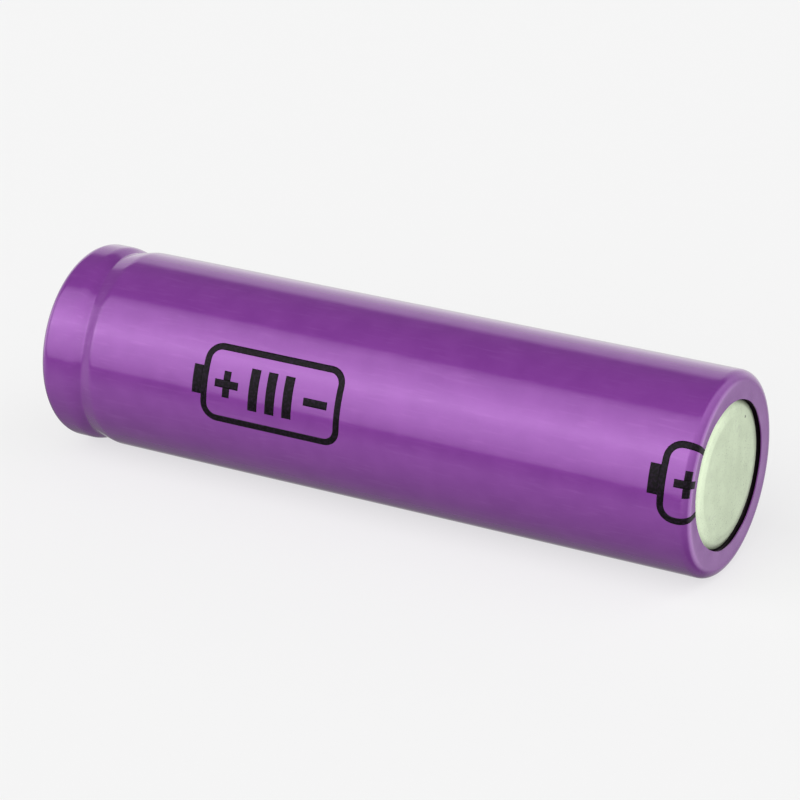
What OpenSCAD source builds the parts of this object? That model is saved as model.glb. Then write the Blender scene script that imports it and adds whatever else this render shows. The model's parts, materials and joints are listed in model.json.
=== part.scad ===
// Cylindrical lithium-ion cell, lying on its side along X.
// Every piece is first built standing up along Z, with the negative end at z = 0,
// and lay_down() then turns the positive end towards +X and centres the cell on the origin.

/* [Cell] */
// Diameter over the sleeve
cell_d = 18.2; // [18.1:0.05:18.5]
// Length of the sleeve from rim to rim
sleeve_len = 65.0; // [63:0.5:68]
// How far the positive terminal stands out of the sleeve
cap_proud = 0.15; // [0.1:0.05:0.4]

/* [Sleeve] */
// Thickness of the shrink film
film_t = 0.10; // [0.08:0.01:0.12]
// Radius of the hole in the film at the negative end
film_hole_r_neg = 6.65; // [6.5:0.05:7]
// Radius of the hole in the film at the positive end
film_hole_r_pos = 6.5; // [6.3:0.05:7]
// Outer radius of the film's corner at the negative end
film_corner_r_neg = 0.95; // [0.5:0.05:1.2]
// Outer radius of the film's corner at the positive end
film_corner_r_pos = 1.1; // [1.1:0.05:1.3]
// Depth of the film's dip over the crimp groove
dip_depth = 0.42; // [0.3:0.02:0.42]
// Length of the film's dip over the crimp groove
dip_len = 2.6; // [2.5:0.05:2.6]
// Distance of the dip's crease from the middle of the groove, towards the positive end
crease_shift = 0.3; // [0:0.05:0.3]

/* [Can] */
// Thickness of the can's steel
can_t = 0.25; // [0.22:0.01:0.28]
// Distance from the sleeve's positive rim to the middle of the crimp groove
groove_z = 4.25; // [4.2:0.05:4.3]
// Depth of the crimp groove in the can
groove_depth = 1.3; // [1.1:0.05:1.4]
// Radius of the flat terminal face in the middle of the can bottom
bottom_face_r = 5.6; // [5.2:0.1:5.7]
// Depth of the terminal face below the sleeve's rim
bottom_face_z = 0.20; // [0.15:0.05:0.25]
// Depth of the ring-shaped dip around the terminal face
bottom_dip_z = 0.60; // [0.5:0.05:0.65]
// Radius of the edge of the crimped lip
lip_r = 7.1; // [6.9:0.1:7.3]

/* [Header] */
// Radius of the flat top of the positive terminal
cap_face_r = 4.3; // [3.9:0.1:4.5]
// Thickness of the positive terminal's steel
cap_t = 0.5; // [0.4:0.05:0.5]
// Number of vent windows in the positive terminal
cap_windows = 4; // [3:1:5]
// Thickness of the PTC ring
ptc_t = 0.4; // [0.3:0.05:0.4]
// Thickness of the vent disc's aluminium
vent_t = 0.3; // [0.25:0.05:0.3]
// Thickness of the CID plate
cid_t = 0.4; // [0.3:0.05:0.4]
// Number of gas holes in the CID plate
cid_holes = 6; // [4:1:8]
// Wall thickness of the gasket
gasket_t = 0.5; // [0.45:0.01:0.5]
// Thickness of the paper washer
washer_t = 0.24; // [0.2:0.01:0.24]

/* [Winding] */
// Radius of the winding's open core
core_r = 1.95; // [1.9:0.01:2.0]
// Number of turns
turns = 16; // [10:1:16]
// Thickness of one separator film
separator_t = 0.020; // [0.016:0.002:0.020]
// Thickness of the anode's copper foil
copper_t = 0.010; // [0.008:0.001:0.010]
// Thickness of one anode coating
anode_coat_t = 0.085; // [0.08:0.001:0.085]
// Thickness of the cathode's aluminium foil
aluminium_t = 0.016; // [0.012:0.001:0.016]
// Thickness of one cathode coating
cathode_coat_t = 0.075; // [0.072:0.001:0.075]
// Height of the separator films
separator_h = 58.0; // [50:0.5:58]
// How far the anode stays inside each separator edge
anode_inset = 0.5; // [0.3:0.1:0.8]
// How far the cathode stays inside each separator edge
cathode_inset = 1.0; // [0.9:0.1:1.5]
// Thickness of the tabs
tab_t = 0.07; // [0.05:0.01:0.07]

/* [Hidden] */
$fn = 96;
hair = 0.01;                 // gap between neighbouring pieces
slack = 0.002;               // gap between neighbouring layers of the winding
steps = 30;                  // flats per turn of the winding

// Radii, from the sleeve inwards
cell_r = cell_d / 2;
can_r = cell_r - film_t - hair;
can_inner_r = can_r - can_t;
gasket_outer_r = can_inner_r - hair;
stack_r = gasket_outer_r - gasket_t - hair;
can_corner_neg = film_corner_r_neg - film_t - hair - can_t / 2;
can_corner_pos = film_corner_r_pos - film_t - hair - can_t / 2;

// Heights of the crimp and the header stack, from the positive end inwards
groove_mid = sleeve_len - groove_z;
groove_half = 0.8;           // half the groove's width, at the middle of the steel
washer_top = sleeve_len - film_t - hair;
lip_top = washer_top - washer_t - hair;
lip_bottom = lip_top - can_t;
gasket_top = lip_bottom - hair;
fold_top = gasket_top - gasket_t - hair;
flange_top = fold_top - vent_t - hair;
ptc_top = flange_top - cap_t - hair;
vent_top = ptc_top - ptc_t - hair;
vent_bottom = vent_top - vent_t;
gasket_bottom = groove_mid + groove_half + can_t / 2 + 0.02;
cap_top = sleeve_len + cap_proud;
nub_bottom = vent_bottom - 1.2;          // underside of the vent disc's middle
cid_top = nub_bottom - hair;
cid_bottom = cid_top - cid_t;
cid_r = 6.0;
cid_ring_r = 6.5;
header_hole_r = 6.6;                     // clear radius through the gasket

// Heights below the winding, from the can bottom upwards
bottom_inside = bottom_face_z + can_t;   // inner side of the terminal face
dip_inside = bottom_dip_z + can_t;
low_disc_z = dip_inside + 0.16;
low_disc_t = 0.2;
winding_z = low_disc_z + low_disc_t + 0.04;
high_disc_t = 0.3;
high_disc_z = winding_z + separator_h + 0.1;

// Offsets of the layers inside one turn of the winding
anode_in_at = separator_t + slack;
copper_at = anode_in_at + anode_coat_t + slack;
anode_out_at = copper_at + copper_t + slack;
separator_out_at = anode_out_at + anode_coat_t + slack;
cathode_in_at = separator_out_at + separator_t + slack;
aluminium_at = cathode_in_at + cathode_coat_t + slack;
cathode_out_at = aluminium_at + aluminium_t + slack;
pitch = cathode_out_at + cathode_coat_t + slack;

// Start and end of each layer, in turns
flat_turn = 1 / steps;                   // one flat of the winding
positive_mid = floor(turns / 2);         // where the positive tab sits, facing +X
negative_mid = turns - 0.5;              // where the negative tab sits, facing -X
anode_from = 0.6;
anode_to = negative_mid - 3 * flat_turn; // the foil's bare end carries the negative tab
copper_to = negative_mid + 3 * flat_turn;
cathode_from = 1.0;
cathode_to = anode_to - 1.1;
bare_half = 4 * flat_turn;               // half the bare window for the positive tab
positive_half = 2 * flat_turn;           // half the positive tab's arc
negative_half = flat_turn;               // half the negative tab's arc
positive_tab_at = aluminium_at - slack - tab_t;
positive_tab_r = core_r + positive_mid * pitch + positive_tab_at;
negative_tab_r = core_r + negative_mid * pitch + anode_out_at;
positive_tab_w = 2 * positive_tab_r * sin(360 * positive_half) - 0.1;
negative_tab_w = 2 * negative_tab_r * sin(360 * negative_half) - 0.1;
separator_out_to = turns - 0.35;         // just past the negative tab
winding_r = core_r + separator_out_to * pitch + separator_out_at + separator_t;

// ---- Frame ----

module lay_down() {
    translate([-(sleeve_len + cap_proud) / 2, 0, 0]) rotate([0, 90, 0]) children();
}

// ---- Pressed sheet: a bent strip of even thickness, given by its middle line ----

// A middle line is a list of [x, y, bend radius]; the first and last points need no radius.
function unit(v) = v / norm(v);
function left(v) = [-v[1], v[0]];
function flat(p) = [p[0], p[1]];
function turn(u, v) = atan2(u[0] * v[1] - u[1] * v[0], u * v);

// Points of the bend at p between a and c, moved sideways by side (positive is to the left)
function bend(a, p, c, side, n = 8) =
    let (
        u = unit(flat(p) - flat(a)),
        v = unit(flat(c) - flat(p)),
        angle = turn(u, v),
        way = sign(angle),
        from = flat(p) - u * p[2] * tan(abs(angle) / 2),
        centre = from + left(u) * way * p[2],
        arm = -left(u) * way * (p[2] - way * side)
    )
    [for (i = [0:n]) centre + turned(arm, angle * i / n)];

function turned(v, a) = [v[0] * cos(a) - v[1] * sin(a), v[0] * sin(a) + v[1] * cos(a)];

function edge(line, side) =
    let (last = len(line) - 1)
    concat(
        [flat(line[0]) + left(unit(flat(line[1]) - flat(line[0]))) * side],
        [for (i = [1:last - 1]) each bend(line[i - 1], line[i], line[i + 1], side)],
        [flat(line[last]) + left(unit(flat(line[last]) - flat(line[last - 1]))) * side]
    );

function reversed(list) = [for (i = [len(list) - 1:-1:0]) list[i]];

module sheet(line, t) {
    polygon(concat(edge(line, t / 2), reversed(edge(line, -t / 2))));
}

// A pressed round part: the sheet turned about the cell's axis
module pressed(line, t) {
    rotate_extrude() sheet(line, t);
}

module washer(r_in, r_out, z, t) {
    translate([0, 0, z]) difference() {
        cylinder(r = r_out, h = t);
        translate([0, 0, -1]) cylinder(r = r_in, h = t + 2);
    }
}

// ---- Winding: one layer of the spiral, with flats at the same angles as its neighbours ----

function spiral_r(turn_no, at) = core_r + pitch * turn_no + at;

function spiral(at, from, to) =
    [for (i = [round(from * steps):round(to * steps)])
        spiral_r(i / steps, at) * [cos(360 * i / steps), sin(360 * i / steps)]];

module layer(at, t, from, to, z, h) {
    translate([0, 0, z]) linear_extrude(h)
        polygon(concat(spiral(at, from, to), reversed(spiral(at + t, from, to))));
}

module anode_layer(at, t, to) {
    layer(at, t, anode_from, to, winding_z + anode_inset, separator_h - 2 * anode_inset);
}

module cathode_layer(at, t, from, to) {
    layer(at, t, from, to, winding_z + cathode_inset, separator_h - 2 * cathode_inset);
}

// A cathode coating is left off where the tab is welded to the foil
module cathode_coating(at) {
    cathode_layer(at, cathode_coat_t, cathode_from, positive_mid - bare_half);
    cathode_layer(at, cathode_coat_t, positive_mid + bare_half, cathode_to);
}

// ---- Outside ----

module sleeve() {
    side_r = cell_r - film_t / 2;
    dip_mid = groove_mid - 0.1;
    line = [
        [film_hole_r_neg, film_t / 2],
        [side_r, film_t / 2, film_corner_r_neg - film_t / 2],
        [side_r, dip_mid - dip_len / 2, 2.5],
        [side_r - dip_depth, groove_mid + crease_shift, 0.6],
        [side_r, dip_mid + dip_len / 2, 2.5],
        [side_r, sleeve_len - film_t / 2, film_corner_r_pos - film_t / 2],
        [film_hole_r_pos, sleeve_len - film_t / 2]
    ];
    color([0.56, 0.30, 0.66]) pressed(line, film_t);
}

module top_insulator_ring() {
    color([0.93, 0.92, 0.88])
        washer(cap_face_r + 0.9, cell_r - film_corner_r_pos - 0.02, lip_top + hair, washer_t);
}

module can() {
    side_r = can_r - can_t / 2;
    line = [
        [0, bottom_face_z + can_t / 2],
        [bottom_face_r + 0.5, bottom_face_z + can_t / 2, 1.3],
        [bottom_face_r + 1.1, bottom_dip_z + can_t / 2, 0.3],
        [bottom_face_r + 1.65, film_t + hair + can_t / 2, 0.3],
        [side_r, film_t + hair + can_t / 2, can_corner_neg],
        [side_r, groove_mid - groove_half, 0.85],
        [side_r - groove_depth, groove_mid - groove_half + 0.1, 0.5],
        [side_r - groove_depth, groove_mid + groove_half - 0.1, 0.5],
        [side_r, groove_mid + groove_half, 0.85],
        [side_r, lip_top - can_t / 2, can_corner_pos],
        [lip_r, lip_top - can_t / 2]
    ];
    color([0.75, 0.76, 0.72]) pressed(line, can_t);
}

// ---- Header ----

// A moulded ring with its outer corners cut off, hollowed for the rim of the stack
module gasket() {
    top_cut = 0.8;
    foot_cut = 0.6;
    pocket_z = vent_bottom - hair;
    color([0.90, 0.91, 0.93]) rotate_extrude() difference() {
        polygon([
            [header_hole_r, gasket_bottom],
            [gasket_outer_r - foot_cut, gasket_bottom],
            [gasket_outer_r, gasket_bottom + foot_cut],
            [gasket_outer_r, gasket_top - top_cut],
            [gasket_outer_r - top_cut, gasket_top],
            [header_hole_r, gasket_top]
        ]);
        translate([header_hole_r - 1, pocket_z])
            square([stack_r + hair - header_hole_r + 1, fold_top + hair - pocket_z]);
    }
}

module top_cap() {
    foot_r = cap_face_r + 1.0;
    line = [
        [0, cap_top - cap_t / 2],
        [cap_face_r + 0.2, cap_top - cap_t / 2, 0.5],
        [foot_r, flange_top - cap_t / 2, 0.5],
        [stack_r - vent_t - hair, flange_top - cap_t / 2]
    ];
    window_w = 3.0;
    color([0.78, 0.78, 0.76]) difference() {
        pressed(line, cap_t);
        for (i = [0:cap_windows - 1]) rotate([0, 0, (i + 0.5) * 360 / cap_windows])
            translate([cap_face_r + 0.1, -window_w / 2, flange_top + 0.05])
                cube([2, window_w, cap_top - flange_top - cap_t - 0.25]);
    }
}

module ptc_ring() {
    color([0.30, 0.30, 0.31]) washer(5.2, stack_r - vent_t - hair, ptc_top - ptc_t, ptc_t);
}

module vent_disc() {
    line = [
        [0, nub_bottom + vent_t / 2],
        [1.3, nub_bottom + vent_t / 2, 0.35],
        [2.1, nub_bottom + 0.55, 0.35],
        [4.3, nub_bottom + 0.55, 0.35],
        [4.9, vent_bottom + vent_t / 2, 0.35],
        [stack_r - vent_t / 2, vent_bottom + vent_t / 2, vent_t / 2 + hair],
        [stack_r - vent_t / 2, fold_top - vent_t / 2, vent_t / 2 + hair],
        [stack_r - 1.1, fold_top - vent_t / 2]
    ];
    score_z = nub_bottom + 0.55 + vent_t / 2;
    color([0.80, 0.81, 0.83]) difference() {
        pressed(line, vent_t);
        rotate_extrude()
            polygon([[3.1, score_z - 0.14], [3.3, score_z + 0.1], [2.9, score_z + 0.1]]);
    }
}

module cid_insulator_ring() {
    wall_t = cid_ring_r - cid_r - hair;
    color([0.85, 0.80, 0.62]) rotate_extrude() difference() {
        translate([5.5, cid_bottom - 0.25])
            square([cid_ring_r - 5.5, vent_bottom - hair - cid_bottom + 0.25]);
        translate([5, cid_bottom - hair]) square([cid_ring_r - wall_t - 5, cid_t + 2 * hair]);
    }
}

module cid_plate() {
    color([0.80, 0.81, 0.83]) difference() {
        translate([0, 0, cid_bottom]) cylinder(r = cid_r, h = cid_t);
        for (i = [0:cid_holes - 1]) rotate([0, 0, i * 360 / cid_holes])
            translate([4.0, 0, cid_bottom - 1]) cylinder(r = 0.6, h = cid_t + 2);
    }
}

// ---- Winding and its tabs ----

module cathode_foil() {
    color([0.82, 0.83, 0.85])
        cathode_layer(aluminium_at, aluminium_t, cathode_from, cathode_to);
}

module cathode_coating_inner() {
    color([0.13, 0.13, 0.14]) cathode_coating(cathode_in_at);
}

module cathode_coating_outer() {
    color([0.13, 0.13, 0.14]) cathode_coating(cathode_out_at);
}

module anode_foil() {
    color([0.80, 0.47, 0.30]) anode_layer(copper_at, copper_t, copper_to);
}

module anode_coating_inner() {
    color([0.20, 0.20, 0.21]) anode_layer(anode_in_at, anode_coat_t, anode_to);
}

module anode_coating_outer() {
    color([0.20, 0.20, 0.21]) anode_layer(anode_out_at, anode_coat_t, anode_to);
}

module separator_inner() {
    color([0.95, 0.95, 0.93]) layer(0, separator_t, 0, turns, winding_z, separator_h);
}

module separator_outer() {
    color([0.95, 0.95, 0.93])
        layer(separator_out_at, separator_t, 0, separator_out_to, winding_z, separator_h);
}

module closing_tape() {
    color([0.25, 0.55, 0.35])
        washer(winding_r + hair, winding_r + 0.06, winding_z + 4, separator_h - 8);
}

module centre_pin() {
    color([0.70, 0.71, 0.72]) difference() {
        washer(core_r - 0.5, core_r - 0.3, winding_z + 1, separator_h - 2);
        translate([0, -0.2, winding_z]) cube([core_r, 0.4, separator_h]);
    }
}

// A strip folded out of a flat sheet: its middle line is drawn in XZ, its width runs along Y
module folded_strip(line, t, w) {
    translate([0, w / 2, 0]) rotate([90, 0, 0]) linear_extrude(w) sheet(line, t);
}

// The flat piece between a strip's straight end and its curved stretch in the winding
module tab_root(at, mid, half, from_x, w) {
    linear_extrude(tab_t) intersection() {
        polygon(concat([[0, 0]], spiral(at + tab_t / 2, mid - half, mid + half)));
        rotate(360 * mid) translate([from_x, -w / 2]) square([2, w]);
    }
}

// A curved strip on the bare foil, whose end is folded over the winding in a Z
module positive_tab() {
    from_z = winding_z + 8;
    bend_z = high_disc_z + high_disc_t + 0.25;
    leaf_z = cid_bottom - hair - tab_t / 2 - bend_z;
    reach = 3.0;
    root_x = positive_tab_r * cos(360 * positive_half);
    color([0.82, 0.83, 0.85]) {
        layer(positive_tab_at, tab_t, positive_mid - positive_half,
            positive_mid + positive_half, from_z, bend_z + tab_t / 2 - from_z);
        translate([0, 0, bend_z]) {
            tab_root(positive_tab_at, positive_mid, positive_half, root_x - 0.3,
                positive_tab_w);
            folded_strip([
                [root_x, tab_t / 2],
                [-reach, tab_t / 2, 0.1],
                [-reach, leaf_z, 0.1],
                [reach, leaf_z]
            ], tab_t, positive_tab_w);
        }
    }
}

module positive_tab_tape() {
    half = 3 * flat_turn;
    color([0.85, 0.62, 0.15])
        layer(cathode_out_at, 0.05, positive_mid - half, positive_mid + half,
            winding_z + 5, separator_h - 6);
}

module upper_insulator_disc() {
    hole_h = high_disc_t + 2;
    slot_x = positive_tab_r * cos(360 * positive_half) - 0.25;
    color([0.88, 0.90, 0.86]) translate([0, 0, high_disc_z]) difference() {
        cylinder(r = can_inner_r - 0.25, h = high_disc_t);
        translate([0, 0, -1]) cylinder(r = 1.6, h = hole_h);
        for (a = [120, 240]) rotate([0, 0, a])
            translate([4.6, 0, -1]) cylinder(r = 1.5, h = hole_h);
        translate([slot_x, -positive_tab_w / 2 - 0.25, -1])
            cube([positive_tab_r + 0.35 - slot_x, positive_tab_w + 0.5, hole_h]);
    }
}

// A curved strip on the bare foil, whose end is folded under the winding to the can bottom
module negative_tab() {
    low_z = dip_inside + 0.02;
    weld_z = bottom_inside + hair + tab_t / 2 - low_z;
    root_x = negative_tab_r * cos(360 * negative_half);
    color([0.74, 0.75, 0.72]) translate([0, 0, low_z]) {
        layer(anode_out_at, tab_t, negative_mid - negative_half,
            negative_mid + negative_half, 0, 50);
        tab_root(anode_out_at, negative_mid, negative_half, root_x - 0.3, negative_tab_w);
        rotate([0, 0, 180]) folded_strip([
            [-2.5, weld_z],
            [bottom_face_r - 0.5, weld_z, 0.3],
            [bottom_face_r + 0.1, tab_t / 2, 0.3],
            [root_x, tab_t / 2]
        ], tab_t, negative_tab_w);
    }
}

module negative_tab_tape() {
    half = 2 * flat_turn;
    color([0.85, 0.62, 0.15])
        layer(anode_in_at, 0.05, negative_mid - half, negative_mid + half,
            winding_z + 3, separator_h - 6);
}

module lower_insulator_disc() {
    color([0.88, 0.90, 0.86]) washer(1.6, negative_tab_r - 0.3, low_disc_z, low_disc_t);
}

// ---- Assembly ----

lay_down() sleeve();
lay_down() top_insulator_ring();
lay_down() can();
lay_down() gasket();
lay_down() top_cap();
lay_down() ptc_ring();
lay_down() vent_disc();
lay_down() cid_insulator_ring();
lay_down() cid_plate();
lay_down() positive_tab();
lay_down() positive_tab_tape();
lay_down() upper_insulator_disc();
lay_down() cathode_foil();
lay_down() cathode_coating_inner();
lay_down() cathode_coating_outer();
lay_down() separator_inner();
lay_down() separator_outer();
lay_down() anode_foil();
lay_down() anode_coating_inner();
lay_down() anode_coating_outer();
lay_down() closing_tape();
lay_down() centre_pin();
lay_down() negative_tab();
lay_down() negative_tab_tape();
lay_down() lower_insulator_disc();
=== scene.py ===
"""Looks of the cylindrical battery cell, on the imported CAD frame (metres, cell along X, +X positive)."""
import json
import math

import bmesh
import bpy
from mathutils import Matrix, Vector


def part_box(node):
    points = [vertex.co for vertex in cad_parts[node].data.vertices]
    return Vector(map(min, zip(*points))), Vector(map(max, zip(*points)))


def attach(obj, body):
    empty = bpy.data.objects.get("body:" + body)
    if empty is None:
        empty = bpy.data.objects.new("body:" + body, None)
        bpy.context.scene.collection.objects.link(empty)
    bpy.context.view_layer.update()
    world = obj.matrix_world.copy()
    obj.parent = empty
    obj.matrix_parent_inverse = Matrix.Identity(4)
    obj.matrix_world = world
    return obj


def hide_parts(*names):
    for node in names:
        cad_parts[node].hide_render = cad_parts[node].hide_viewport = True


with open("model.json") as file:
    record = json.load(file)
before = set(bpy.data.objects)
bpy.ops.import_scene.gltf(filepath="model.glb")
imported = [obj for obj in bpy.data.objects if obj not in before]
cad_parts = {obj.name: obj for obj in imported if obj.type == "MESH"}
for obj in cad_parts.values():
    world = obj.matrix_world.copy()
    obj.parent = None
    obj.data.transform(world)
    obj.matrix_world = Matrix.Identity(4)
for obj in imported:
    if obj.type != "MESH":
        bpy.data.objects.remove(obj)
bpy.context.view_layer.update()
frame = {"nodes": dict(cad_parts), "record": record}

MM = 0.001

# ---- Where the cell is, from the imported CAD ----

RIM_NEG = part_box("sleeve")[0].x
RIM_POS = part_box("sleeve")[1].x
FLOOR_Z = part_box("sleeve")[0].z
INK_ROOM = 0.012 * MM                   # between the film and the CAD box, so that the ink fits in
CELL_R = -FLOOR_Z - INK_ROOM
END_NEG = RIM_NEG + INK_ROOM

# Sleeve
FILM_T = 0.10 * MM
HOLE_NEG_R = 6.65 * MM
HOLE_POS_R = 6.50 * MM
CORNER_NEG_R = 0.95 * MM
CORNER_POS_R = 1.10 * MM
GROOVE_X = RIM_POS - 4.25 * MM
CREASE_X = GROOVE_X + 0.3 * MM
DIP_FROM = GROOVE_X - 1.4 * MM
DIP_TO = GROOVE_X + 1.2 * MM
DIP_DEPTH = 0.42 * MM
CREASE_AT = math.radians(108)           # where the crease is nearest the positive end
CREASE_SWAY = 0.45                      # mm either way, about a middle CREASE_BACK mm back
CREASE_BACK = 0.05
GROOVE_REACH = 1.2 * MM                 # how far along the cell the faults at the groove reach
SLACK_AT = math.radians(25)             # where the folded film is narrowest on the negative end
SLACK = 0.75 * MM
RIPPLE = 0.0012 * MM
CREASING = 0.012 * MM
WOBBLE = 0.05 * MM
PLEAT_NEG = 0.012                       # mm the cut edge is drawn inwards, at either end
PLEAT_POS = 0.03

# Can
CAN_T = 0.25 * MM
CAN_R = CELL_R - FILM_T - 0.01 * MM
CAN_END = FILM_T + 0.025 * MM
FACE_R = 5.6 * MM
FACE_DEPTH = 0.20 * MM
BULGE = 0.10 * MM
DIP_RING_DEPTH = 0.60 * MM
SHADE_RING_R = FACE_R + 0.80 * MM, FACE_R + 0.95 * MM            # over which painted shade darkens the dip
SHADE_RING_X = RIM_NEG + 0.9 * MM, RIM_NEG + 1.0 * MM            # and how deep the painted shade reaches
CRIMP_DEPTH = 1.3 * MM
CRIMP_HALF = 0.8 * MM
LIP_R = 7.1 * MM

# Positive end
WASHER_LO, WASHER_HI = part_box("top_insulator_ring")
LIP_TOP = WASHER_LO.x - 0.01 * MM
CAP_LO, CAP_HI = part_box("top_cap")
CAP_TOP = CAP_HI.x - 0.001 * MM
CAP_T = 0.5 * MM
CAP_FACE_R = 4.3 * MM
CAP_FOOT_R = CAP_FACE_R + 1.0 * MM
CAP_WINDOWS = 4
CAP_WINDOW_W = 3.0 * MM
WASHER_HOLE_R = CAP_FACE_R + 0.9 * MM

# Ink
INK_LIFT = 0.007 * MM
INK_T = 0.004 * MM
MARK_MIDDLE = 40.3 * MM                 # from the negative rim
MARK_REPEAT = 44.6 * MM
MARK_ANGLE = math.radians(16)

SIDES = 256


# ---- Turned shapes ----

def left(v):
    return Vector((-v.y, v.x))


def bend(a, p, c, radius, side, n):
    """Points of the rounded corner at p between a and c, moved sideways by side."""
    u, v = (p - a).normalized(), (c - p).normalized()
    angle = math.atan2(u.x * v.y - u.y * v.x, u.dot(v))
    way = math.copysign(1, angle)
    centre = p - u * radius * math.tan(abs(angle) / 2) + left(u) * way * radius
    arm = -left(u) * way * (radius - way * side)
    return [centre + Matrix.Rotation(angle * i / n, 2) @ arm for i in range(n + 1)]


def strip_side(line, side, n=10):
    """One side of a bent strip, whose middle is a list of (x, r, bend radius)."""
    at = [Vector(p[:2]) for p in line]
    out = [at[0] + left((at[1] - at[0]).normalized()) * side]
    for i in range(1, len(line) - 1):
        out += bend(at[i - 1], at[i], at[i + 1], line[i][2], side, n)
    out.append(at[-1] + left((at[-1] - at[-2]).normalized()) * side)
    return out


def spaced(points, step):
    """The same line with no two points further apart than step."""
    out = [points[0]]
    for a, b in zip(points, points[1:]):
        parts = max(1, math.ceil((b - a).length / step))
        out += [a.lerp(b, i / parts) for i in range(1, parts + 1)]
    return out


def make(name, verts, faces, sharp_deg=35):
    """A smooth-shaded object, with its doubled points merged and its steep edges kept sharp."""
    mesh = bpy.data.meshes.new(name)
    mesh.from_pydata(verts, [], faces)
    bm = bmesh.new()
    bm.from_mesh(mesh)
    bmesh.ops.remove_doubles(bm, verts=bm.verts, dist=1e-8)
    bmesh.ops.dissolve_degenerate(bm, dist=1e-9, edges=bm.edges)
    bmesh.ops.recalc_face_normals(bm, faces=bm.faces)
    bm.to_mesh(mesh)
    bm.free()
    mesh.shade_smooth()
    mesh.set_sharp_from_angle(angle=math.radians(sharp_deg))
    obj = bpy.data.objects.new(name, mesh)
    bpy.context.scene.collection.objects.link(obj)
    return obj


def around(x, r, angle):
    return (x, r * math.cos(angle), r * math.sin(angle))


def lathe(name, loop, shape=None, sides=SIDES, sharp_deg=35):
    """A closed loop of (x, r) turned about the X axis. shape(x, r, angle) may move each point."""
    verts, faces = [], []
    n = len(loop)
    for k in range(sides):
        angle = math.tau * k / sides
        for p in loop:
            x, r = shape(p.x, p.y, angle) if shape else p
            verts.append(around(x, r, angle))
        a, b = k * n, (k + 1) % sides * n
        for i in range(n):
            j = (i + 1) % n
            faces.append((a + i, a + j, b + j, b + i))
    return make(name, verts, faces, sharp_deg)


# ---- Sleeve ----

def film_line():
    side_r = CELL_R - FILM_T / 2
    return [
        (END_NEG + FILM_T / 2, HOLE_NEG_R),
        (END_NEG + FILM_T / 2, side_r, CORNER_NEG_R - FILM_T / 2),
        (DIP_FROM, side_r, 2.5 * MM),
        (CREASE_X, side_r - DIP_DEPTH, 0.4 * MM),
        (DIP_TO, side_r, 2.5 * MM),
        (RIM_POS - FILM_T / 2, side_r, CORNER_POS_R - FILM_T / 2),
        (RIM_POS - FILM_T / 2, HOLE_POS_R),
    ]


def film_faults(x, r, angle):
    """Small faults of shrunk film: ripples, creases over the groove and an uneven cut edge."""
    ripple = (
        math.sin(3 * angle + x / (5.5 * MM))
        + math.sin(5 * angle - x / (3.7 * MM) + 1)
        + math.sin(2 * angle + x / (9.1 * MM) + 2)
    )
    shrink = RIPPLE * (ripple + 3)
    near_groove = math.exp(-(((x - CREASE_X) / GROOVE_REACH) ** 2))
    x += near_groove * (CREASE_SWAY * math.cos(2 * (angle - CREASE_AT)) - CREASE_BACK) * MM
    creases = math.sin(7 * angle + 0.5) + 0.6 * math.sin(12 * angle + 2) + 0.4 * math.sin(19 * angle)
    shrink += near_groove * CREASING * (creases + 2)

    at_neg = x < 0
    hole_r, corner_r = (HOLE_NEG_R, CORNER_NEG_R) if at_neg else (HOLE_POS_R, CORNER_POS_R)
    on_end = min(x - RIM_NEG, RIM_POS - x) < corner_r
    to_edge = min(1, max(0, (CELL_R - corner_r - r) / (CELL_R - corner_r - hole_r))) if on_end else 0
    wobble = math.sin(2 * angle + 0.4) + 0.5 * math.sin(3 * angle + 2) + 0.25 * math.sin(8 * angle + 1)
    pleats = 1 + math.sin(11 * angle + 1) * math.sin(4 * angle)
    inwards = to_edge ** 2 * (PLEAT_NEG if at_neg else PLEAT_POS) * MM * pleats
    slack = SLACK * max(0, math.cos(angle - SLACK_AT)) ** 2 if at_neg else 0
    return (
        x + (inwards if at_neg else -inwards),
        r - shrink + to_edge * (WOBBLE * wobble + slack),
    )


def sleeve():
    line = film_line()
    outer = spaced(strip_side(line, FILM_T / 2, 14), 0.6 * MM)
    inner = strip_side(line, -FILM_T / 2, 8)
    obj = lathe("shrink_sleeve", outer + inner[::-1], film_faults)
    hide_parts("sleeve")
    return obj


# ---- Can ----

def can():
    side_r = CAN_R - CAN_T / 2
    half = CAN_T / 2
    groove_r = side_r - CRIMP_DEPTH
    line = [
        (RIM_NEG + FACE_DEPTH + half, 0),
        (RIM_NEG + FACE_DEPTH + half, FACE_R - 0.3 * MM, 2.5 * MM),
        (RIM_NEG + FACE_DEPTH + 0.09 * MM + half, FACE_R + 0.45 * MM, 1.2 * MM),
        (RIM_NEG + DIP_RING_DEPTH + half, FACE_R + 1.1 * MM, 0.3 * MM),
        (RIM_NEG + CAN_END + half, FACE_R + 1.65 * MM, 0.3 * MM),
        (RIM_NEG + CAN_END + half, side_r, CORNER_NEG_R - CAN_END - half),
        (GROOVE_X - CRIMP_HALF, side_r, 0.85 * MM),
        (GROOVE_X - CRIMP_HALF + 0.1 * MM, groove_r, 0.5 * MM),
        (GROOVE_X + CRIMP_HALF - 0.1 * MM, groove_r, 0.5 * MM),
        (GROOVE_X + CRIMP_HALF, side_r, 0.85 * MM),
        (LIP_TOP - half, side_r, CORNER_POS_R - CAN_END - half),
        (LIP_TOP - half, LIP_R),
    ]
    outer = spaced(strip_side(line, half, 10), 1.5 * MM)
    inner = strip_side(line, -half, 6)
    obj = lathe("cell_can", outer + inner[::-1], bottom_bulge, sides=192)
    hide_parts("can")
    return obj


def bottom_bulge(x, r, angle):
    """The bare bottom stands out a little in the middle."""
    bulge = max(0, 1 - (r / (FACE_R + 0.6 * MM)) ** 2) * BULGE
    return (x - bulge if x < RIM_NEG + 2 * MM else x), r


# ---- Positive end ----

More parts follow.
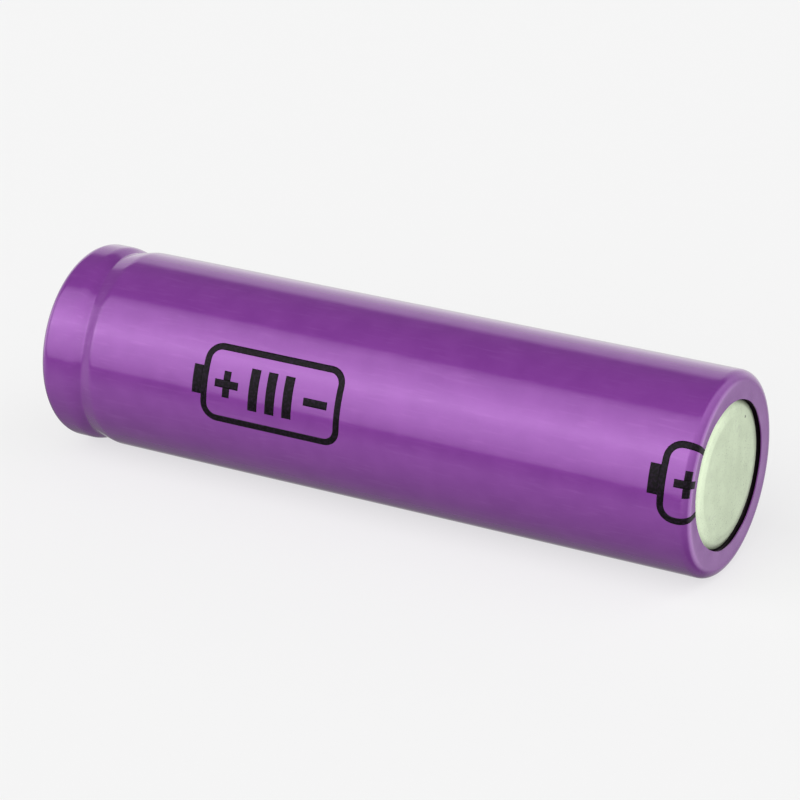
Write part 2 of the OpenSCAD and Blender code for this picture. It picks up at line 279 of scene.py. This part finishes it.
def box_at(size, x, y, angle):
    """A box for cutting, moved out along Y by y and then turned about the X axis."""
    mesh = bpy.data.meshes.new("cutter")
    bm = bmesh.new()
    where = Matrix.Rotation(angle, 4, "X") @ Matrix.Translation((x, y, 0)) @ Matrix.Diagonal((*size, 1))
    bmesh.ops.create_cube(bm, size=1, matrix=where)
    bm.to_mesh(mesh)
    bm.free()
    obj = bpy.data.objects.new("cutter", mesh)
    bpy.context.scene.collection.objects.link(obj)
    return obj


def cut(obj, cutter):
    """Takes the cutter away from obj and removes it."""
    step = obj.modifiers.new("cut", "BOOLEAN")
    step.operation, step.solver, step.object = "DIFFERENCE", "EXACT", cutter
    shape = obj.evaluated_get(bpy.context.evaluated_depsgraph_get())
    mesh = bpy.data.meshes.new_from_object(shape)
    obj.modifiers.clear()
    old, obj.data = obj.data, mesh
    bpy.data.meshes.remove(old)
    bpy.data.objects.remove(cutter)


def top_cap():
    flange_x = CAP_LO.x + CAP_T / 2
    flange_r = (CAP_HI.z - CAP_LO.z) / 2
    line = [
        (flange_x, flange_r),
        (flange_x, CAP_FOOT_R, 0.5 * MM),
        (CAP_TOP - CAP_T / 2, CAP_FACE_R + 0.2 * MM, 0.5 * MM),
        (CAP_TOP - CAP_T / 2, 0),
    ]
    outer = strip_side(line, -CAP_T / 2, 12)
    inner = strip_side(line, CAP_T / 2, 12)
    obj = lathe("positive_cap", outer + inner[::-1], sides=160)
    low, high = CAP_LO.x + CAP_T + 0.05 * MM, CAP_TOP - CAP_T - 0.2 * MM
    for i in range(CAP_WINDOWS):
        angle = math.tau * (i + 0.5) / CAP_WINDOWS
        window = (high - low, 2.0 * MM, CAP_WINDOW_W)
        cut(obj, box_at(window, (low + high) / 2, CAP_FACE_R + 1.1 * MM, angle))
    obj.data.shade_smooth()
    obj.data.set_sharp_from_angle(angle=math.radians(35))
    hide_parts("top_cap")
    return obj


def washer():
    r_out = (WASHER_HI.z - WASHER_LO.z) / 2
    r_in = WASHER_HOLE_R
    lo, hi, soft = WASHER_LO.x, WASHER_HI.x, 0.03 * MM
    half = (hi - lo) / 2
    loop = [
        Vector(p) for p in (
            (lo, r_in + soft), (lo + soft, r_in), (hi - soft, r_in), (hi, r_in + soft),
            (hi, r_out - half), (hi - soft, r_out - soft), (lo + soft, r_out), (lo, r_out - soft),
        )
    ]
    obj = lathe("paper_washer", spaced(loop, 0.5 * MM), paper_edge, sides=192, sharp_deg=60)
    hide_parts("top_insulator_ring")
    return obj


def paper_edge(x, r, angle):
    """The punched inner edge of the paper is a little uneven."""
    close = max(0, 1 - (r - WASHER_HOLE_R) / (0.4 * MM))
    return x, r + close * 0.02 * MM * (1 + math.sin(23 * angle) * math.sin(9 * angle + 1))


# ---- Ink mark: a battery pictogram of the builder's own, printed on the film ----

class Film:
    """The outer side of the sleeve, by distance from the edge of the negative hole."""

    def __init__(self):
        self.line = spaced(strip_side(film_line(), FILM_T / 2, 14), 0.6 * MM)
        self.length = [0.0]
        for a, b in zip(self.line, self.line[1:]):
            self.length.append(self.length[-1] + (b - a).length)

    def distance_of(self, x):
        """How far along the film the side of the cell at x lies."""
        side = [(p.x, d) for p, d in zip(self.line, self.length) if p.y > CELL_R - 1e-9]
        return side[0][1] + x - side[0][0]

    def point(self, along, angle, lift):
        i = 1
        while i < len(self.line) - 1 and self.length[i] < along:
            i += 1
        share = (along - self.length[i - 1]) / (self.length[i] - self.length[i - 1])
        p = self.line[i - 1].lerp(self.line[i], share)
        out = left((self.line[i] - self.line[i - 1]).normalized())
        x, r = film_faults(p.x, p.y, angle)
        return around(x + out.x * lift, r + out.y * lift, angle)


def rounded_box(length, height, radius, n=8):
    """Closed path of a rectangle with round corners, about the origin."""
    path = []
    for cx, cy, start in ((1, 1, 0), (-1, 1, 90), (-1, -1, 180), (1, -1, 270)):
        centre = Vector((cx * (length / 2 - radius), cy * (height / 2 - radius)))
        for i in range(n + 1):
            a = math.radians(start + 90 * i / n)
            path.append(centre + radius * Vector((math.cos(a), math.sin(a))))
    return path + path[:1]


def pictogram():
    """Strokes of (path, width): plus, minus, three bars, nub and outline."""
    outline, thin, bold = 0.62 * MM, 0.72 * MM, 0.95 * MM
    arm, bar, sign_x = 1.2 * MM, 1.9 * MM, 4.55 * MM
    nub_from, nub_to, nub_half = 7.11 * MM, 8.05 * MM, 1.3 * MM
    lines = [((x - arm, 0), (x + arm, 0), thin) for x in (-sign_x, sign_x)]
    lines += [((sign_x, way * thin / 2), (sign_x, way * arm), thin) for way in (-1, 1)]
    lines += [((x, -bar), (x, bar), bold) for x in (-1.75 * MM, 0, 1.75 * MM)]
    nub_x = (nub_from + nub_to) / 2
    lines.append(((nub_x, -nub_half), (nub_x, nub_half), nub_to - nub_from))
    strokes = [([Vector(a), Vector(b)], width) for a, b, width in lines]
    return strokes + [(rounded_box(13.6 * MM, 6.6 * MM, 1.3 * MM), outline)]


def thicken(obj, thickness):
    """Closes a sheet into a plate that lies between it and the cell."""
    bm = bmesh.new()
    bm.from_mesh(obj.data)
    for face in bm.faces:
        middle = face.calc_center_median()
        outwards = Vector((0, middle.y, middle.z)).normalized()
        if middle.x < RIM_NEG + CORNER_NEG_R:
            outwards.x = -1
        if face.normal.dot(outwards) < 0:
            face.normal_flip()
    bmesh.ops.solidify(bm, geom=bm.faces[:], thickness=thickness)
    bm.to_mesh(obj.data)
    bm.free()


def ink():
    """Both prints of the pictogram. The second is cut off just before the edge of the film."""
    film = Film()
    first = film.distance_of(RIM_NEG + MARK_MIDDLE)
    verts, faces = [], []
    cut_edge = 0.04 * MM
    across = 5                          # faces across a stroke
    for middle in (first, first - MARK_REPEAT):
        for path, width in pictogram():
            path = spaced(path, 0.1 * MM)
            rows = []
            for i, p in enumerate(path):
                before, after = path[max(i - 1, 0)], path[min(i + 1, len(path) - 1)]
                if (path[0] - path[-1]).length < 1e-9 and i in (0, len(path) - 1):
                    before, after = path[-2], path[1]
                side = left((after - before).normalized())
                rows.append([p + side * width * (j / across - 0.5) for j in range(across + 1)])
            for top, bottom in zip(rows, rows[1:]):
                for j in range(across):
                    corners = (top[j], top[j + 1], bottom[j + 1], bottom[j])
                    if all(middle + c.x < cut_edge for c in corners):
                        continue
                    faces.append(tuple(len(verts) + k for k in range(4)))
                    for c in corners:
                        along = max(cut_edge, middle + c.x)
                        verts.append(film.point(along, MARK_ANGLE + c.y / CELL_R, INK_LIFT))
    obj = make("printed_mark", verts, faces, sharp_deg=180)
    thicken(obj, INK_T)
    return obj


# ---- Node helpers ----

def add(tree, kind, inputs=None, **settings):
    """A new shader node. A socket given as an input is linked, anything else is set."""
    node = tree.nodes.new(kind)
    for key, value in settings.items():
        setattr(node, key, value)
    for key, value in (inputs or {}).items():
        if isinstance(value, bpy.types.NodeSocket):
            tree.links.new(value, node.inputs[key])
        else:
            node.inputs[key].default_value = value
    return node


def start(name):
    """A new material: (material, its tree, its Principled shader)."""
    mat = bpy.data.materials.new(name)
    mat.use_nodes = True
    return mat, mat.node_tree, mat.node_tree.nodes["Principled BSDF"]


def put(tree, shader, **values):
    """Sets or links inputs of the Principled shader; underscores stand for spaces."""
    names = {n.name.lower().replace(" ", "_"): n for n in shader.inputs}
    for key, value in values.items():
        socket = names[key.lower()]
        if isinstance(value, bpy.types.NodeSocket):
            tree.links.new(value, socket)
        elif socket.type == "RGBA":
            socket.default_value = (*value, 1)
        else:
            socket.default_value = value


def place(tree, stretch=(1, 1, 1)):
    """The point on the object in metres, squeezed or stretched for streaks."""
    coord = add(tree, "ShaderNodeTexCoord").outputs["Object"]
    return add(tree, "ShaderNodeMapping", {"Vector": coord, "Scale": stretch}).outputs["Vector"]


def grain(tree, at, size, detail=3.0, rough=0.5):
    """Noise whose features are about size across, in metres."""
    inputs = {"Vector": at, "Scale": 1 / size, "Detail": detail, "Roughness": rough}
    return add(tree, "ShaderNodeTexNoise", inputs).outputs["Fac"]


def specks(tree, at, spacing, radius):
    """1 on small spots about spacing apart, 0 between them."""
    spots = add(tree, "ShaderNodeTexVoronoi", {"Vector": at, "Scale": 1 / spacing}).outputs["Distance"]
    return span(tree, spots, radius / spacing, radius / spacing * 0.6, 0, 1)


def spot(tree, at, centre, radius):
    """1 inside a small ball, fading to 0 at its edge."""
    away = add(tree, "ShaderNodeVectorMath", {0: at, 1: centre}, operation="DISTANCE").outputs["Value"]
    return span(tree, away, radius, radius * 0.6, 0, 1)


def span(tree, value, from_lo, from_hi, to_lo, to_hi):
    """Value, moved from one range to another and kept inside it."""
    inputs = {"Value": value, "From Min": from_lo, "From Max": from_hi, "To Min": to_lo, "To Max": to_hi}
    return add(tree, "ShaderNodeMapRange", inputs).outputs["Result"]


def blend(tree, share, a, b):
    """Colour a where share is 0, and b where it is 1."""
    node = add(tree, "ShaderNodeMix", data_type="RGBA")
    tree.links.new(share, node.inputs[0])
    for socket, colour in ((node.inputs[6], a), (node.inputs[7], b)):
        if isinstance(colour, bpy.types.NodeSocket):
            tree.links.new(colour, socket)
        else:
            socket.default_value = (*colour, 1)
    return node.outputs[2]


def math_node(tree, operation, a, b):
    return add(tree, "ShaderNodeMath", {0: a, 1: b}, operation=operation).outputs[0]


def facing(tree, direction, way):
    """1 where direction points along way, and -1 where it points away from it."""
    both = {0: direction, 1: way}
    return add(tree, "ShaderNodeVectorMath", both, operation="DOT_PRODUCT").outputs["Value"]


def relief(tree, height, depth, normal=None):
    """Bump of the given depth in metres."""
    inputs = {"Height": height, "Distance": depth, "Strength": 1.0}
    if normal:
        inputs["Normal"] = normal
    return add(tree, "ShaderNodeBump", inputs).outputs["Normal"]


# ---- Materials ----

PURPLE = (0.219, 0.046, 0.306)
PURPLE_DEEP = (0.200, 0.039, 0.284)
PURPLE_WORN = (0.255, 0.065, 0.340)


def shrink_film():
    """Glossy dyed film: flow streaks along the cell, faint mottling, fine scuffs, soft ripples."""
    mat, tree, bsdf = start("shrink_film")
    at = place(tree)
    along = place(tree, (0.12, 1, 1))
    mottle = span(tree, grain(tree, at, 2.2 * MM, 4), 0.35, 0.65, 0, 1)
    streaks = span(tree, grain(tree, along, 0.35 * MM, 3), 0.55, 0.75, 0, 0.5)
    colour = blend(tree, mottle, PURPLE, PURPLE_DEEP)
    colour = blend(tree, streaks, colour, PURPLE_WORN)
    scuffs = span(tree, grain(tree, place(tree, (1, 0.2, 0.2)), 0.25 * MM, 5), 0.62, 0.80, 0.17, 0.26)
    ripples = grain(tree, along, 1.8 * MM, 2)
    fine = relief(tree, grain(tree, at, 0.12 * MM, 2), 0.0006 * MM)
    put(
        tree, bsdf, base_color=colour, metallic=0.2, roughness=scuffs,
        specular_ior_level=0.35, specular_tint=(0.96, 0.48, 1.0),
        coat_weight=1.0, coat_roughness=0.05, coat_ior=1.45,
        normal=fine, coat_normal=relief(tree, ripples, 0.0035 * MM),
    )
    return mat


def mark_ink():
    """Black ink under the film's gloss, a little thinner in places."""
    mat, tree, bsdf = start("mark_ink")
    at = place(tree)
    thin = span(tree, grain(tree, at, 0.22 * MM, 4), 0.45, 0.70, 0, 1)
    put(
        tree, bsdf, base_color=blend(tree, thin, (0.004, 0.003, 0.004), (0.016, 0.008, 0.020)),
        roughness=span(tree, thin, 0, 1, 0.28, 0.40), specular_ior_level=0.06,
        coat_weight=0.05, coat_roughness=0.05, coat_ior=1.5,
    )
    return mat


PITS = (                                # (Y, Z, radius) of the dark pits in the bare bottom
    (-3.0 * MM, 4.33 * MM, 0.15 * MM),
    (-1.1 * MM, 5.90 * MM, 0.06 * MM),
    (-0.4 * MM, 5.75 * MM, 0.05 * MM),
    (5.6 * MM, 1.9 * MM, 0.07 * MM),
)


def nickel_plated_steel():
    """Satin nickel with tumbling marks, dark pits, small stains and painted shade in the dip round the
    bottom.
    """
    mat, tree, bsdf = start("nickel_plated_steel")
    at = place(tree)
    cloud = span(tree, grain(tree, at, 1.6 * MM, 5), 0.35, 0.65, 0, 1)
    colour = blend(tree, cloud, (0.61, 0.71, 0.51), (0.54, 0.63, 0.45))
    stain = span(tree, grain(tree, at, 0.7 * MM, 4), 0.60, 0.72, 0, 0.5)
    colour = blend(tree, stain, colour, (0.46, 0.52, 0.40))
    pits = specks(tree, at, 0.85 * MM, 0.045 * MM)
    rare = span(tree, grain(tree, at, 1.3 * MM, 1), 0.48, 0.56, 0, 1)
    pits = math_node(tree, "MULTIPLY", pits, rare)
    for y, z, size in PITS:
        pits = math_node(tree, "MAXIMUM", pits, spot(tree, at, (RIM_NEG + FACE_DEPTH, y, z), size))
    colour = blend(tree, pits, colour, (0.06, 0.05, 0.05))
    # Painted shade: the dip round the bare bottom is coloured near-black beyond a radius and up to a
    # depth, standing in for its shadow.
    depth_x = add(tree, "ShaderNodeSeparateXYZ", {0: at}).outputs["X"]
    radial = place(tree, (0, 1, 1))
    from_axis = add(tree, "ShaderNodeVectorMath", {0: radial}, operation="LENGTH").outputs["Value"]
    painted_dip_shade = math_node(
        tree, "MULTIPLY",
        span(tree, from_axis, *SHADE_RING_R, 0, 1),
        span(tree, depth_x, *SHADE_RING_X, 1, 0),
    )
    colour = blend(tree, painted_dip_shade, colour, (0.012, 0.006, 0.010))
    rough = span(tree, grain(tree, at, 0.09 * MM, 3), 0.3, 0.7, 0.26, 0.40)
    dents = relief(tree, grain(tree, at, 0.14 * MM, 4), 0.0025 * MM)
    put(
        tree, bsdf, base_color=colour, metallic=0.55, roughness=rough,
        normal=relief(tree, pits, -0.01 * MM, dents),
    )
    return mat


def cap_steel():
    """Bright nickel plate with turned rings and a few contact marks."""
    mat, tree, bsdf = start("cap_steel")
    at = place(tree)
    cloud = span(tree, grain(tree, at, 1.2 * MM, 4), 0.35, 0.65, 0, 1)
    colour = blend(tree, cloud, (0.74, 0.73, 0.69), (0.68, 0.68, 0.64))
    marks = span(tree, grain(tree, place(tree, (1, 0.15, 1)), 0.22 * MM, 4), 0.62, 0.75, 0, 1)
    colour = blend(tree, marks, colour, (0.58, 0.57, 0.53))
    rough = span(tree, marks, 0, 1, 0.20, 0.38)
    put(
        tree, bsdf, base_color=colour, metallic=1.0, roughness=rough,
        normal=relief(tree, grain(tree, at, 0.10 * MM, 3), 0.0015 * MM),
    )
    return mat


def paper():
    """Pressed paper: fibres, small dark bits and a matt tooth."""
    mat, tree, bsdf = start("paper")
    at = place(tree)
    fibres = grain(tree, place(tree, (1, 0.3, 1)), 0.10 * MM, 5, 0.65)
    colour = blend(tree, span(tree, fibres, 0.3, 0.7, 0, 1), (0.80, 0.78, 0.72), (0.90, 0.89, 0.85))
    colour = blend(tree, specks(tree, at, 0.6 * MM, 0.03 * MM), colour, (0.45, 0.40, 0.32))
    put(tree, bsdf, base_color=colour, roughness=0.85, normal=relief(tree, fibres, 0.012 * MM))
    return mat


def rolled(name, light, dark, rough, stretch=(0.08, 1, 1), size=0.12):
    """Rolled metal: long fine streaks and a slow change of tone."""
    mat, tree, bsdf = start(name)
    streaks = grain(tree, place(tree, stretch), size * MM, 4)
    tone = grain(tree, place(tree), 2.5 * MM, 3)
    colour = blend(tree, span(tree, streaks, 0.3, 0.7, 0, 1), light, dark)
    colour = blend(tree, span(tree, tone, 0.4, 0.7, 0, 0.35), colour, dark)
    put(
        tree, bsdf, base_color=colour, metallic=1.0,
        roughness=span(tree, streaks, 0.3, 0.7, rough - 0.06, rough + 0.08),
        normal=relief(tree, streaks, 0.002 * MM),
    )
    return mat


def moulded(name, colour, deep, rough, tooth=0.15, clear=0.0):
    """Moulded or die-cut plastic: faint flow marks and a fine tooth."""
    mat, tree, bsdf = start(name)
    at = place(tree)
    flow = span(tree, grain(tree, at, 1.4 * MM, 3), 0.35, 0.65, 0, 1)
    skin = grain(tree, at, tooth * MM, 3)
    put(
        tree, bsdf, base_color=blend(tree, flow, colour, deep),
        roughness=span(tree, skin, 0.3, 0.7, rough - 0.05, rough + 0.07),
        transmission_weight=clear, normal=relief(tree, skin, 0.002 * MM),
    )
    return mat


def coated(name, colour, glint, rough):
    """A calendered coating: dark powder pressed flat, with tiny brighter grains."""
    mat, tree, bsdf = start(name)
    at = place(tree)
    powder = grain(tree, at, 0.03 * MM, 4, 0.7)
    base = blend(tree, specks(tree, at, 0.05 * MM, 0.012 * MM), colour, glint)
    base = blend(tree, span(tree, grain(tree, at, 1.5 * MM, 2), 0.4, 0.7, 0, 0.4), base, glint)
    put(
        tree, bsdf, base_color=base, roughness=span(tree, powder, 0.3, 0.7, rough - 0.08, rough + 0.08),
        normal=relief(tree, powder, 0.003 * MM),
    )
    return mat


def taped(name, colour, deep):
    """Adhesive tape: clear gloss over a tint, with fine lines across it."""
    mat, tree, bsdf = start(name)
    lines = grain(tree, place(tree, (1, 0.15, 0.15)), 0.2 * MM, 3)
    tint = blend(tree, span(tree, lines, 0.35, 0.65, 0, 1), colour, deep)
    put(
        tree, bsdf, base_color=tint, roughness=span(tree, lines, 0.3, 0.7, 0.28, 0.42),
        coat_weight=0.6, coat_roughness=0.12, normal=relief(tree, lines, 0.001 * MM),
    )
    return mat


def finishes():
    """A material for every slot of the record."""
    grey, bright = (0.62, 0.63, 0.66), (0.80, 0.81, 0.83)
    return {
        "shrink_film": shrink_film(),
        "paper": paper(),
        "nickel_plated_steel": nickel_plated_steel(),
        "cap_steel": cap_steel(),
        "gasket_plastic": moulded(
            "gasket_plastic", (0.80, 0.82, 0.85), (0.70, 0.72, 0.76), 0.35, clear=0.3,
        ),
        "ptc_polymer": coated("ptc_polymer", (0.05, 0.05, 0.055), (0.22, 0.22, 0.23), 0.5),
        "vent_aluminium": rolled("vent_aluminium", bright, grey, 0.28, (1, 0.1, 1)),
        "cid_plastic": moulded("cid_plastic", (0.70, 0.62, 0.38), (0.60, 0.52, 0.30), 0.45),
        "plate_aluminium": rolled("plate_aluminium", bright, grey, 0.34, (1, 1, 0.1)),
        "tab_aluminium": rolled("tab_aluminium", bright, grey, 0.25),
        "tab_tape": taped("tab_tape", (0.62, 0.32, 0.03), (0.48, 0.22, 0.02)),
        "insulator_plastic": moulded(
            "insulator_plastic", (0.78, 0.80, 0.76), (0.66, 0.69, 0.64), 0.5, 0.08,
        ),
        "aluminium_foil": rolled("aluminium_foil", bright, grey, 0.18, (1, 0.05, 0.05), 0.3),
        "cathode_oxide": coated("cathode_oxide", (0.012, 0.012, 0.013), (0.05, 0.05, 0.055), 0.6),
        "separator_film": moulded(
            "separator_film", (0.88, 0.88, 0.86), (0.80, 0.80, 0.78), 0.55, 0.02,
        ),
        "copper_foil": rolled(
            "copper_foil", (0.80, 0.42, 0.26), (0.62, 0.28, 0.16), 0.22, (1, 0.05, 0.05), 0.3,
        ),
        "anode_graphite": coated("anode_graphite", (0.028, 0.028, 0.03), (0.12, 0.12, 0.125), 0.45),
        "closing_tape": taped("closing_tape", (0.05, 0.26, 0.10), (0.03, 0.18, 0.07)),
        "pin_steel": rolled("pin_steel", (0.60, 0.60, 0.60), (0.42, 0.42, 0.43), 0.3),
        "tab_nickel": rolled("tab_nickel", (0.70, 0.69, 0.64), (0.55, 0.54, 0.50), 0.26),
    }


def dress(obj, mat):
    obj.data.materials.clear()
    obj.data.materials.append(mat)


# ---- Studio ----

CAMERA_FROM_RIM = Vector((-93.469, 226.52, 109.967)) * MM
CAMERA_TURN = math.radians(209.0)
CAMERA_DOWN = math.radians(22.93)
LENS_MM = 141.72
BACKDROP = 0.92

# The studio round the cell: (degrees above the +Y horizon, brightness). 180 is the -Y horizon.
LIGHT = (
    (-180, 0.9), (-150, 0.5), (-130, 0.2), (-80, 0.3), (-30, 0.6),      # floor, darkest under the cell
    (-12, 0.2), (-8, 0.2),                                              # dark gap in front
    (-6.5, 1.0), (15, 2.0), (24, 2.2), (36, 2.9), (60, 1.7), (72, 1.4), (80.5, 0.7),    # soft box
    (82, 0.12), (138, 0.12),                                            # dark gap overhead
    (146, 0.7), (180, 0.9),                                             # pale wall behind
)
LIGHT_MAX = 4.0
LIGHT_FROM = -0.42, -0.20                       # where the light round the cell fades in, along X
LIGHT_TO = 0.82, 0.95                           # and where it fades out again
LIGHT_LEFT = 0.15                               # what is left of it there
END_WAY = Vector((0, 0.25, 0.97))               # the even light on the -X side is brightest this way
END_LIGHT = 0.02, 1.55                          # from its darkest to its brightest
# Bright cards: (which way, cosines between which they fade in, brightness).
CARDS = (
    ((-0.80, -0.50, -0.33), (0.82, 0.97), 1.4),    # faces the bare negative end
    ((1, 0, 0), (0.955, 0.985), 0.7),              # faces the cap
)
FLOOR_SIZE = 3.0                                # metres from its middle to its edge
FLOOR_TONES = 0.890, 0.896
FLOOR_GLOW = 0.72                               # share of the floor's tone that shadows don't touch


def camera():
    data = bpy.data.cameras.new("camera")
    data.sensor_width, data.lens = 36, LENS_MM
    data.clip_start, data.clip_end = 0.01, 20
    cam = bpy.data.objects.new("camera", data)
    cam.location = Vector((RIM_NEG, 0, 0)) + CAMERA_FROM_RIM
    cam.rotation_euler = (math.pi / 2 - CAMERA_DOWN, 0, CAMERA_TURN)
    bpy.context.scene.collection.objects.link(cam)
    bpy.context.scene.camera = cam


def light():
    """Bands of soft light round the cell's axis, an even light on its negative end and two cards.

    The camera sees an even pale backdrop instead.
    """
    world = bpy.data.worlds.new("studio")
    world.use_nodes = True
    tree = world.node_tree
    tree.nodes.clear()
    way = add(tree, "ShaderNodeTexCoord").outputs["Generated"]
    part = add(tree, "ShaderNodeSeparateXYZ", {0: way}).outputs
    angle = math_node(tree, "ARCTAN2", part["Z"], part["Y"])
    ramp = add(tree, "ShaderNodeValToRGB", {0: span(tree, angle, -math.pi, math.pi, 0, 1)})
    stops = ramp.color_ramp.elements
    while len(stops) > 1:
        stops.remove(stops[-1])
    for i, (degrees, value) in enumerate(LIGHT):
        stop = stops[0] if i == 0 else stops.new((degrees + 180) / 360)
        stop.position = (degrees + 180) / 360
        stop.color = (*[value / LIGHT_MAX] * 3, 1)
    round_cell = span(tree, part["X"], *LIGHT_FROM, 0, 1)
    far = span(tree, part["X"], *LIGHT_TO, 0, 1)
    bands = blend(tree, far, ramp.outputs["Color"], (LIGHT_LEFT,) * 3)
    end = span(tree, facing(tree, way, END_WAY), -1, 1, *[v / LIGHT_MAX for v in END_LIGHT])
    total = add(tree, "ShaderNodeMix", {0: round_cell, 6: end, 7: bands}, data_type="RGBA").outputs[2]
    for card_way, edges, value in CARDS:
        card = span(tree, facing(tree, way, card_way), *edges, 0, value / LIGHT_MAX)
        both = {0: 1.0, 6: total, 7: card}
        total = add(tree, "ShaderNodeMix", both, data_type="RGBA", blend_type="ADD").outputs[2]
    lit = add(tree, "ShaderNodeBackground", {"Color": total, "Strength": LIGHT_MAX})
    seen = add(tree, "ShaderNodeBackground", {"Color": (BACKDROP,) * 3 + (1,), "Strength": 1.0})
    camera_ray = add(tree, "ShaderNodeLightPath").outputs["Is Camera Ray"]
    mix = add(tree, "ShaderNodeMixShader", {0: camera_ray, 1: lit.outputs[0], 2: seen.outputs[0]})
    add(tree, "ShaderNodeOutputWorld", {"Surface": mix.outputs[0]})
    bpy.context.scene.world = world


def floor():
    """A plain pale floor that takes the cell's soft shadow but doesn't light the cell from below."""
    signs = ((-1, -1), (1, -1), (1, 1), (-1, 1))
    corners = [(x * FLOOR_SIZE, y * FLOOR_SIZE, FLOOR_Z) for x, y in signs]
    obj = make("floor", corners, [(0, 1, 2, 3)])
    mat, tree, bsdf = start("floor_paper")
    tone = span(tree, grain(tree, place(tree), 4 * MM, 3), 0.3, 0.7, 0, 1)
    dark, pale = [(value * (1 - FLOOR_GLOW),) * 3 for value in FLOOR_TONES]
    put(
        tree, bsdf, base_color=blend(tree, tone, dark, pale), roughness=0.9,
        specular_ior_level=0.0, emission_color=(BACKDROP,) * 3, emission_strength=FLOOR_GLOW,
    )
    dress(obj, mat)
    obj.visible_diffuse = obj.visible_glossy = obj.visible_shadow = False


def main():
    settings = bpy.context.scene.view_settings
    settings.view_transform, settings.look = "Standard", "None"
    camera()
    light()
    floor()
    looks = finishes()
    for part in frame["record"]["subparts"]:
        dress(frame["nodes"][part["node"]], looks[part["material_slot"]])
    new = {
        "shrink_film": sleeve(), "nickel_plated_steel": can(), "cap_steel": top_cap(), "paper": washer(),
    }
    for slot, piece in new.items():
        dress(piece, looks[slot])
        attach(piece, "root")
    mark = ink()
    dress(mark, mark_ink())
    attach(mark, "root")


main()
